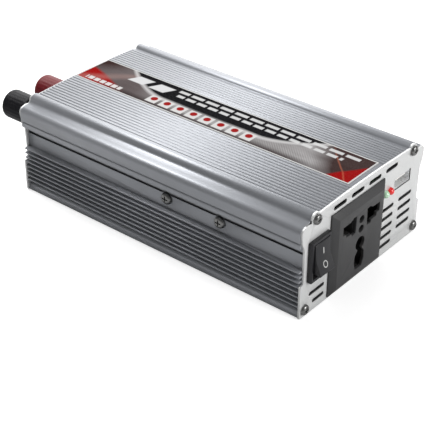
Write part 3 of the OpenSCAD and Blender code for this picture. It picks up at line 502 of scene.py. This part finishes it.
def make_switch_black():
    """Black rocker with a white bar on its upper half and a white ring on its lower half."""
    moulded("switch_black", (0.012, 0.012, 0.014), 0.36, bump=0.008, rub=0.18)
    material = FINISHES["switch_black"]
    tree = material.node_tree
    shader = tree.nodes["Principled BSDF"]
    plain = shader.inputs["Base Color"].links[0].from_socket
    where = next(n for n in tree.nodes if n.type == "TEX_COORD").outputs["Object"]
    x, _, z = parts_of(tree, where)
    across = x - SWITCH.x
    rise = z - SWITCH.z
    bar_x, bar_z, bar_half_wide, bar_half_high = 0.4, 4.1, 0.3, 1.5
    bar = (across - bar_x).size().below(bar_half_wide, 0.05)
    bar = bar * (rise - bar_z).size().below(bar_half_high, 0.05)
    ring_down, ring_r, ring_half_wide = 2.2, 1.35, 0.2
    ring = (across * across + (rise + ring_down) * (rise + ring_down)).power(0.5) - ring_r
    ring = ring.size().below(ring_half_wide, 0.05)
    front = node(tree, "SeparateXYZ", {0: node(tree, "NewGeometry").outputs["Normal"]})
    facing = Field(tree, front.outputs["Y"]).below(-0.5, 0.1)
    print_mask = bar.either(ring) * facing * across.size().below(4.0, 0.05)
    feed(tree, shader.inputs["Base Color"],
         mixed(tree, print_mask, plain, (0.52, 0.52, 0.51)))


def make_indicator(name, colour, glow):
    """Tinted clear dome: a painted highlight where it faces the eye and painted shade where it is
    seen at a slant, with small moulding marks.
    """
    tree, shader, where = finish_start(name)
    grain = placed(tree, MOULDED_GRAIN, {"Vector": where, "Size": 1500.0})
    # Painted highlight and shade by viewing angle: brighter facing the eye, darker at a slant
    rim = node(tree, "LayerWeight", {"Blend": 0.35})
    base = mixed(tree, Field(tree, rim.outputs["Facing"]) * 0.6, shade(colour, 1.15),
                 shade(colour, 0.55))
    base = mixed(tree, grain["Mottle"] * 0.3, base, shade(colour, 1.4))
    feed(tree, shader.inputs["Base Color"], base)
    feed(tree, shader.inputs["Emission Color"], base)
    feed(tree, shader.inputs["Roughness"], grain["Mottle"] * 0.1 + 0.08)
    set_shader(tree, shader, emission_strength=glow, coat_weight=0.8, coat_roughness=0.05)
    bumped(tree, shader, grain["Mottle"], 0.01)


def make_board_green():
    """Solder mask over copper tracks, with tinned pads."""
    tree, shader, where = finish_start("board_green")
    cells = node(tree, "TexVoronoi", {"Vector": where, "Scale": 260.0}, feature="F1",
                 distance="MANHATTAN")
    track = Field(tree, cells.outputs["Distance"]).between(0.25, 0.42, 0.03)
    dots = node(tree, "TexVoronoi", {"Vector": where, "Scale": 420.0}, feature="F1")
    pad = Field(tree, dots.outputs["Distance"]).below(0.22, 0.03)
    grain = placed(tree, MOULDED_GRAIN, {"Vector": where, "Size": 1800.0})
    base = mixed(tree, grain["Mottle"], (0.018, 0.11, 0.04), (0.03, 0.17, 0.06))
    base = mixed(tree, track * 0.6, base, (0.05, 0.26, 0.10))
    base = mixed(tree, pad, base, (0.62, 0.62, 0.6))
    feed(tree, shader.inputs["Base Color"], base)
    feed(tree, shader.inputs["Roughness"], grain["Mottle"] * 0.2 + pad * 0.1 + 0.28)
    feed(tree, shader.inputs["Metallic"], pad)
    bumped(tree, shader, track + pad, 0.03)


def make_winding(name, colour, pitch, roughness):
    """Turns of wire or tape side by side, each a little different in tone, with painted shade in
    the groove between turns.
    """
    tree, shader, where = finish_start(name)
    _, _, z = parts_of(tree, where)
    turn = (z * (2 * math.pi / pitch)).sine()
    grain = placed(tree, MOULDED_GRAIN, {"Vector": where, "Size": 1400.0})
    base = mixed(tree, grain["Mottle"], shade(colour, 0.7), shade(colour, 1.25))
    # Painted shade in the groove between turns
    base = mixed(tree, turn.below(-0.6, 0.3) * 0.6, base, shade(colour, 0.35))
    feed(tree, shader.inputs["Base Color"], base)
    feed(tree, shader.inputs["Roughness"], grain["Mottle"] * 0.2 + (roughness - 0.1))
    bumped(tree, shader, turn, 0.05)


make_case_aluminium()
make_panel_paint()
make_label_print()
make_switch_black()
make_indicator("led_red", (0.62, 0.012, 0.012), 0.12)
make_indicator("led_green", (0.42, 0.62, 0.44), 0.05)
make_board_green()
make_winding("winding_tape", (0.62, 0.46, 0.06), 0.9, 0.45)
make_winding("enamelled_copper", (0.42, 0.14, 0.05), 1.1, 0.3)
metal("mill_aluminium", (0.60, 0.61, 0.63), 0.38, lines=0.8, bump=0.014, metallic=0.9)
metal("zinc_steel", (0.19, 0.19, 0.187), 0.3, bump=0.004, stain=0.3)
metal("bright_steel", (0.74, 0.75, 0.76), 0.28, bump=0.002, metallic=0.55, stain=0.1)
metal("contact_brass", (0.70, 0.50, 0.20), 0.3, bump=0.004)
metal("blade_copper", (0.62, 0.33, 0.16), 0.3, bump=0.004)
metal("stud_brass", (0.70, 0.53, 0.24), 0.28, bump=0.004)
moulded("outlet_grey", (0.042, 0.042, 0.043), 0.46, bump=0.014, rub=0.2)
moulded("inner_grey", (0.010, 0.010, 0.010), 0.55, specular=0.15)
moulded("white_plastic", (0.78, 0.77, 0.72), 0.4, rub=0.1)
moulded("ferrite", (0.035, 0.035, 0.038), 0.55, size=1700.0, bump=0.03)
moulded("bobbin_black", (0.015, 0.015, 0.017), 0.42)
moulded("can_blue", (0.015, 0.03, 0.10), 0.22, bump=0.006, coat=0.3)
moulded("core_yellow", (0.62, 0.48, 0.06), 0.4, size=1800.0)
moulded("epoxy_black", (0.014, 0.014, 0.014), 0.5, size=3600.0)
moulded("pad_grey", (0.46, 0.48, 0.42), 0.7)
moulded("fuse_green", (0.03, 0.28, 0.07), 0.2, bump=0.004, coat=0.4)
moulded("fan_black", (0.016, 0.016, 0.018), 0.4, bump=0.014)
moulded("knob_black", (0.007, 0.007, 0.009), 0.42, bump=0.006, rub=0.1, specular=0.08)
moulded("knob_red", (0.125, 0.006, 0.010), 0.42, bump=0.006, rub=0.1, specular=0.15)
moulded("wire_black", (0.012, 0.012, 0.012), 0.4, bump=0.006)
moulded("wire_red", (0.40, 0.012, 0.012), 0.4, bump=0.006)
moulded("wire_blue", (0.03, 0.10, 0.34), 0.4, bump=0.006)


# ---------- making pieces ----------


def finished(name, bm, node_name, smooth=35.0):
    """The bmesh becomes a piece that stands for its CAD node: same body, same finish."""
    mesh = bpy.data.meshes.new(name)
    bm.to_mesh(mesh)
    bm.free()
    for face in mesh.polygons:
        face.use_smooth = True
    mesh.set_sharp_from_angle(angle=math.radians(smooth))
    piece = bpy.data.objects.new(name, mesh)
    bpy.context.scene.collection.objects.link(piece)
    slot = SLOT_OF[node_name]
    mesh.materials.append(FINISHES[slot])
    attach(piece, BODY_OF[node_name])
    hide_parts(node_name)
    return piece


def bevelled(bm, edges, offset, segments=2):
    return bmesh.ops.bevel(bm, geom=edges, offset=offset * MM, offset_type="OFFSET",
                           segments=segments, profile=0.5, affect="EDGES", clamp_overlap=True,
                           material=-1)


def merged_copy(node_name):
    """A clean bmesh of a CAD node: its loose triangles joined, its flat faces made whole."""
    bm = bmesh.new()
    bm.from_mesh(frame["nodes"][node_name].data)
    bmesh.ops.remove_doubles(bm, verts=bm.verts, dist=0.002 * MM)
    bmesh.ops.dissolve_limit(bm, angle_limit=math.radians(1.0), verts=bm.verts, edges=bm.edges,
                             use_dissolve_boundaries=False)
    return bm


def sharp_edges(bm, angle=40.0):
    limit = math.radians(angle)
    return [e for e in bm.edges if len(e.link_faces) == 2 and e.calc_face_angle(0) > limit]


def dressed(node_name, bevel, angle=40.0, segments=2, smooth=35.0):
    """A merged copy of a CAD node with its sharp edges broken."""
    bm = merged_copy(node_name)
    if bevel:
        bevelled(bm, sharp_edges(bm, angle), bevel, segments)
    return finished(node_name + "_piece", bm, node_name, smooth=smooth)


def arc(cx, cz, radius, start, end, steps=8):
    turns = [math.radians(start + (end - start) * i / steps) for i in range(steps + 1)]
    return [(cx + radius * math.cos(t), cz + radius * math.sin(t)) for t in turns]


def prism(points, low, high):
    """A closed outline in X and Z, drawn out along Y."""
    bm = bmesh.new()
    face = bm.faces.new([bm.verts.new((x * MM, low * MM, z * MM)) for x, z in points])
    grown = bmesh.ops.extrude_face_region(bm, geom=[face])["geom"]
    bmesh.ops.translate(bm, vec=(0, (high - low) * MM, 0),
                        verts=[v for v in grown if isinstance(v, bmesh.types.BMVert)])
    bmesh.ops.recalc_face_normals(bm, faces=bm.faces)
    return bm


def turned(profile, x, z, steps=64):
    """A profile of (radius, Y) points spun round an axis along Y through x and z."""
    bm = bmesh.new()
    points = [bm.verts.new(((x + r) * MM, y * MM, z * MM)) for r, y in profile]
    edges = [bm.edges.new(pair) for pair in zip(points, points[1:])]
    bmesh.ops.spin(bm, geom=points + edges, cent=(x * MM, 0, z * MM), axis=(0, 1, 0),
                   angle=2 * math.pi, steps=steps, use_merge=True)
    bmesh.ops.remove_doubles(bm, verts=bm.verts, dist=0.001 * MM)
    bmesh.ops.recalc_face_normals(bm, faces=bm.faces)
    return bm


def cut_away(piece, tool):
    """Take the tool's shape out of a piece, and leave the result as the piece's own mesh."""
    mesh = bpy.data.meshes.new("cutter")
    tool.to_mesh(mesh)
    tool.free()
    cutter = bpy.data.objects.new("cutter", mesh)
    bpy.context.scene.collection.objects.link(cutter)
    cut = piece.modifiers.new("cut", "BOOLEAN")
    cut.operation, cut.solver, cut.object = "DIFFERENCE", "EXACT", cutter
    bpy.context.view_layer.update()
    shaped = bpy.data.meshes.new_from_object(
        piece.evaluated_get(bpy.context.evaluated_depsgraph_get()))
    piece.modifiers.clear()
    piece.data = shaped
    bpy.data.objects.remove(cutter)


# ---------- case ----------


def top_z(x):
    return TOP_Z + CROWN * (1 - (x / RIB_FROM) ** 2)


def mirrored(points):
    return [(-x, z) for x, z in reversed(points)]


def top_outline():
    """The crowned top from left to right: flat ribs, and a plain stretch under the label."""
    rib = mirrored(RIB_SIDE[1:]) + RIB_SIDE
    count = int((2 * RIB_FROM - RIB_PITCH) / RIB_PITCH + 1e-6) + 1
    top = []
    for i in range(count):
        x = -RIB_FROM + RIB_PITCH * (i + 0.5)
        if LABEL_LOW.x < x + RIB_PITCH / 2 and x - RIB_PITCH / 2 < LABEL_HIGH.x:
            top.append((x, top_z(x)))
        else:
            top += [(x + dx, top_z(x) + dz) for dx, dz in rib]
    return top


def flank_outline():
    """Bead, shoulder, crease, lip and the recessed band with its slit, going down."""
    bead_x, bead_z, bead_r = BEAD
    side = [(RIB_FROM, TOP_Z), (RIB_FROM + 0.25, TOP_Z)]
    side += arc(bead_x, bead_z, bead_r, 142, 22, 20)
    side += [(bead_x + dx, z) for dx, z in SHOULDER_FILLET]
    side += arc(HALF_W - SHOULDER_R, SHOULDER_Z, SHOULDER_R, 74, 0, 16)
    side += [(HALF_W - 0.02, 43.4), (HALF_W - 0.08, 41.8), (HALF_W - 0.16, CREASE_Z + 0.75),
             (HALF_W - 0.3, CREASE_Z + 0.45), (HALF_W - 0.68, CREASE_Z + 0.1),
             (HALF_W - 0.74, CREASE_Z - 0.1), (HALF_W - 0.6, CREASE_Z - 0.35),
             (HALF_W - 0.42, CREASE_Z - 0.6), (HALF_W - 0.46, LIP_Z + 0.9)]
    side += arc(HALF_W - 2 * LIP_R, LIP_Z + 0.3, LIP_R, 0, -80, 5)
    side += [(ROOT_X + 0.3, BAND_TOP + 0.1), (ROOT_X, BAND_TOP - 0.2)]
    return side + [(ROOT_X, SLIT_HIGH), (ROOT_X - SLIT_DEPTH, SLIT_HIGH - 0.1),
                   (ROOT_X - SLIT_DEPTH, SLIT_LOW + 0.15), (ROOT_X, SLIT_LOW)]


def fin_outline():
    """Thin fins with thicker roots and rounded tips, going down."""
    half = [(ROOT_X, 0.95), (ROOT_X + 0.12, 0.8), (FIN_TIP - 0.45, 0.42),
            (FIN_TIP - 0.14, 0.3), (FIN_TIP, 0.0)]
    fins = []
    for i in range(FIN_COUNT):
        z = FIN_TOP_Z - i * FIN_PITCH
        fins += [(x, z + dz) for x, dz in half] + [(x, z - dz) for x, dz in reversed(half[:-1])]
    return fins


def foot_outline():
    """The foot and the groove in it that holds the base plate."""
    return [(ROOT_X, 5.4), (ROOT_X + 0.5, 4.9), (FOOT_OUT - 0.5, 4.1), (FOOT_OUT, 3.6),
            (FOOT_OUT, 0.3), (FOOT_OUT - 0.3, 0), (FOOT_IN + 0.2, 0), (FOOT_IN, 0.2),
            (FOOT_IN, 1.0), (FOOT_IN + BASE_GROOVE, 1.0), (FOOT_IN + BASE_GROOVE, 2.7),
            (FOOT_IN, 2.7), (FOOT_IN, 4.1), (41.0, 6.3)]


def inner_outline():
    """The inner wall going up, with the rails for the main board, to the underside of the bead."""
    wall = [(INNER_X, 7.6), (INNER_X - RAIL, 7.8), (INNER_X - RAIL, 9.0), (INNER_X, 9.0),
            (INNER_X, 11.0), (INNER_X - RAIL, 11.0), (INNER_X - RAIL, 12.2), (INNER_X, 12.4),
            (INNER_X, 41.0), (41.8, 43.6)]
    return wall + arc(*BEAD, -30, -172, 8)


def shell_outline():
    """The extrusion's section, with both sides alike."""
    side = flank_outline() + fin_outline() + foot_outline() + inner_outline()
    return top_outline() + side + mirrored(side)


def make_case_shell():
    bm = prism(shell_outline(), SHELL_LOW.y, SHELL_HIGH.y)
    ends = [e for e in bm.edges if len(e.link_faces) == 2 and
            sum(abs(f.normal.y) > 0.9 for f in e.link_faces) == 1]
    bevelled(bm, ends, 0.1, 1)
    shell = finished("case_shell", bm, "upper_shell", smooth=48.0)
    seats = bmesh.new()
    low, high = span("side_screws")
    proud = 0.2           # the cutting cone stands this far out of the band
    grow = (SEAT_OUT - SEAT_IN) / SEAT_DEPTH * proud
    for side in (-1, 1):
        for y in (low.y + SIDE_HEAD_R, high.y - SIDE_HEAD_R):
            x = side * (ROOT_X + (proud - SEAT_DEPTH) / 2)
            turn = Matrix.Translation(Vector((x, y, SEAT_Z)) * MM)
            turn = turn @ Matrix.Rotation(side * math.pi / 2, 4, "Y")
            bmesh.ops.create_cone(seats, cap_ends=True, segments=64, radius1=SEAT_IN * MM,
                                  radius2=(SEAT_OUT + grow) * MM,
                                  depth=(SEAT_DEPTH + proud) * MM, matrix=turn)
    cut_away(shell, seats)
    shell.data.set_sharp_from_angle(angle=math.radians(48))


def make_label():
    """The printed film, which follows the crown of the top."""
    steps = 40
    width = LABEL_HIGH.x - LABEL_LOW.x
    places = [LABEL_LOW.x + width * i / steps for i in range(steps + 1)]
    outline = [(x, top_z(x) + FILM_UNDER) for x in places]
    outline += [(x, top_z(x) + FILM_OVER) for x in reversed(places)]
    bm = prism(outline, LABEL_LOW.y, LABEL_HIGH.y)
    bevelled(bm, sharp_edges(bm, 60), 0.05, 2)
    finished("label_film", bm, "label_sheet")


# ---------- front ----------


def make_indicators():
    for name in ("red_led", "green_led"):
        low, high = span(name)
        centre = middle(name)
        collar = (high.x - low.x) / 2
        radius = collar - 0.1
        profile = [(0, low.y)] + arc(0, low.y + radius, radius, -80, 0, 8)
        profile += [(radius, high.y - 1.0), (collar, high.y - 1.0), (collar, high.y),
                    (0, high.y)]
        finished(name + "_dome", turned(profile, centre.x, centre.z, 48), name)


def make_front():
    dressed("front_panel", 0.12, 60)
    dressed("outlet_cover", 0.3, 25, 3)
    dressed("outlet_body", 0.15, 60)
    dressed("switch_housing", 0.18, 35, 3)
    dressed("switch_rocker", 0.16, 35, 3)
    dressed("usb_shell", 0.06, 60)
    dressed("usb_tongue", 0.1, 60)
    make_indicators()


# ---------- rear ----------


def make_knobs():
    """Screw-down knobs: a shallow-fluted grip with a rounded end, a neck and a lip."""
    for sign in ("negative", "positive"):
        low, high = span(sign + "_knob")
        centre = middle(sign + "_knob")
        radius = (high.x - low.x) / 2
        base = low.y + KNOB_NECK_LONG
        nose = high.y
        straight = base + 1.6
        rounded = nose - KNOB_NOSE_R
        profile = [(0, low.y + BORE_DEPTH), (BORE_R, low.y + BORE_DEPTH), (BORE_R, low.y),
                   (KNOB_LIP_R, low.y), (KNOB_LIP_R, low.y + KNOB_LIP_LONG),
                   (KNOB_NECK_R, low.y + KNOB_LIP_LONG + 0.05), (KNOB_NECK_R, base),
                   (radius - 0.6, base), (radius - 0.2, base + 0.15), (radius, base + 0.5)]
        profile += [(radius, straight + (rounded - straight) * i / 16) for i in range(16)]
        profile += [(radius - KNOB_NOSE_R + r, y)
                    for r, y in arc(0, rounded, KNOB_NOSE_R, 0, 90, 9)]
        profile += [(radius - 3.2, nose), (radius - 3.6, nose - 0.25), (0, nose - 0.25)]
        bm = turned(profile, centre.x, centre.z, 192)
        finished(sign + "_knob_grip", flute(bm, centre, radius, straight, rounded),
                 sign + "_knob")


def flute(bm, centre, radius, low, high):
    """Shallow flutes in the rim of a knob, fading out at both ends."""
    for v in bm.verts:
        dx, y, dz = v.co.x / MM - centre.x, v.co.y / MM, v.co.z / MM - centre.z
        r = math.hypot(dx, dz)
        if r > radius - 1.6 and low < y < high:
            fade = min(1.0, (y - low) / 0.8, (high - y) / 2.0)
            wave = 0.5 - 0.5 * math.cos(FLUTE_COUNT * math.atan2(dz, dx))
            keep = 1 - FLUTE_DEPTH * fade * wave ** 2 / r
            v.co.x = (centre.x + dx * keep) * MM
            v.co.z = (centre.z + dz * keep) * MM
    return bm


def make_rear():
    dressed("rear_panel", 0.12, 60)
    dressed("fan_frame", 0.2, 50)
    dressed("fan_rotor", 0.1, 50)
    dressed("fan_guard", 0.0)
    for name in ("negative_collar", "positive_collar"):
        dressed(name, 0.25, 50, 3)
    for name in ("negative_washer", "positive_washer", "negative_stud", "positive_stud"):
        dressed(name, 0.1, 50)
    make_knobs()


def dress_rest():
    """Every CAD node that is still shown takes its own finish."""
    shown = [o for o in frame["nodes"].values() if not o.hide_render]
    for o in shown:
        slot = SLOT_OF[o.name]
        o.data.materials.clear()
        o.data.materials.append(FINISHES[slot])


make_case_shell()
make_label()
make_front()
make_rear()
dressed("base_plate", 0.15, 50)
dressed("panel_screws", 0.05, 50)
dressed("rear_screws", 0.04, 50)
dressed("side_screws", 0.05, 50)
dressed("fan_screws", 0.05, 50)
dress_rest()


# ---------- stage, light and camera ----------


FLOOR_GLOW = 0.6
STUDIO_LIGHT = 0.255
# Round lamps that face the middle of the object: place and width in metres, and watts
LAMPS = {
    "overhead": ((0.0, 0.8, 1.3), 0.9, 20),
    "behind": ((1.25, 1.05, 0.95), 2.2, 32),
    "front": ((0.3, -1.3, 0.75), 0.9, 16),
}
# Camera: place in millimetres, turns in degrees, lens in millimetres
CAMERA_AT = (-403.04, FRONT_Y - 244.29, 328.81)
CAMERA_YAW, CAMERA_PITCH, CAMERA_ROLL = 50.41, 32.51, 0.17
CAMERA_LENS = 102.08


def make_stage():
    bm = bmesh.new()
    bmesh.ops.create_grid(bm, x_segments=1, y_segments=1, size=6.0)
    mesh = bpy.data.meshes.new("floor")
    bm.to_mesh(mesh)
    bm.free()
    floor = bpy.data.objects.new("floor", mesh)
    bpy.context.scene.collection.objects.link(floor)
    tree, shader, where = finish_start("floor_white")
    tone = noise(tree, where, 6.0, 2.0)
    feed(tree, shader.inputs["Base Color"], mixed(tree, tone, (0.62, 0.62, 0.62),
                                                  (0.66, 0.66, 0.66)))
    seen = node(tree, "LightPath").outputs["Is Camera Ray"]
    set_shader(tree, shader, roughness=0.7, emission_color=(1, 1, 1),
               emission_strength=Field(tree, seen) * FLOOR_GLOW)
    mesh.materials.append(FINISHES["floor_white"])


def make_lamp(name, place, width, power):
    data = bpy.data.lights.new(name, "AREA")
    data.shape, data.size, data.energy = "DISK", width, power
    lamp = bpy.data.objects.new(name, data)
    bpy.context.scene.collection.objects.link(lamp)
    lamp.location = place
    lamp.rotation_euler = (-Vector(place)).to_track_quat("-Z", "Y").to_euler()


def make_lights():
    world = bpy.data.worlds.new("studio")
    world.use_nodes = True
    back = world.node_tree.nodes["Background"]
    back.inputs["Color"].default_value = (1, 1, 1, 1)
    back.inputs["Strength"].default_value = STUDIO_LIGHT
    bpy.context.scene.world = world
    for name, (place, width, power) in LAMPS.items():
        make_lamp(name, place, width, power)
    bpy.context.scene.view_settings.view_transform = "Standard"
    bpy.context.scene.view_settings.look = "None"


def make_camera():
    yaw, pitch, roll = (math.radians(a) for a in (CAMERA_YAW, CAMERA_PITCH, CAMERA_ROLL))
    ahead = Vector((math.sin(yaw) * math.cos(pitch), math.cos(yaw) * math.cos(pitch),
                    -math.sin(pitch)))
    right = Vector((math.cos(yaw), -math.sin(yaw), 0))
    up = right.cross(ahead)
    right, up = (right * math.cos(roll) + up * math.sin(roll),
                 up * math.cos(roll) - right * math.sin(roll))
    data = bpy.data.cameras.new("camera")
    data.lens, data.sensor_width, data.sensor_fit = CAMERA_LENS, 36.0, "AUTO"
    data.clip_start, data.clip_end = 0.01, 50.0
    camera = bpy.data.objects.new("camera", data)
    bpy.context.scene.collection.objects.link(camera)
    turn = Matrix((right, up, -ahead)).transposed()
    camera.matrix_world = Matrix.Translation(Vector(CAMERA_AT) * MM) @ turn.to_4x4()
    bpy.context.scene.camera = camera


make_stage()
make_lights()
make_camera()
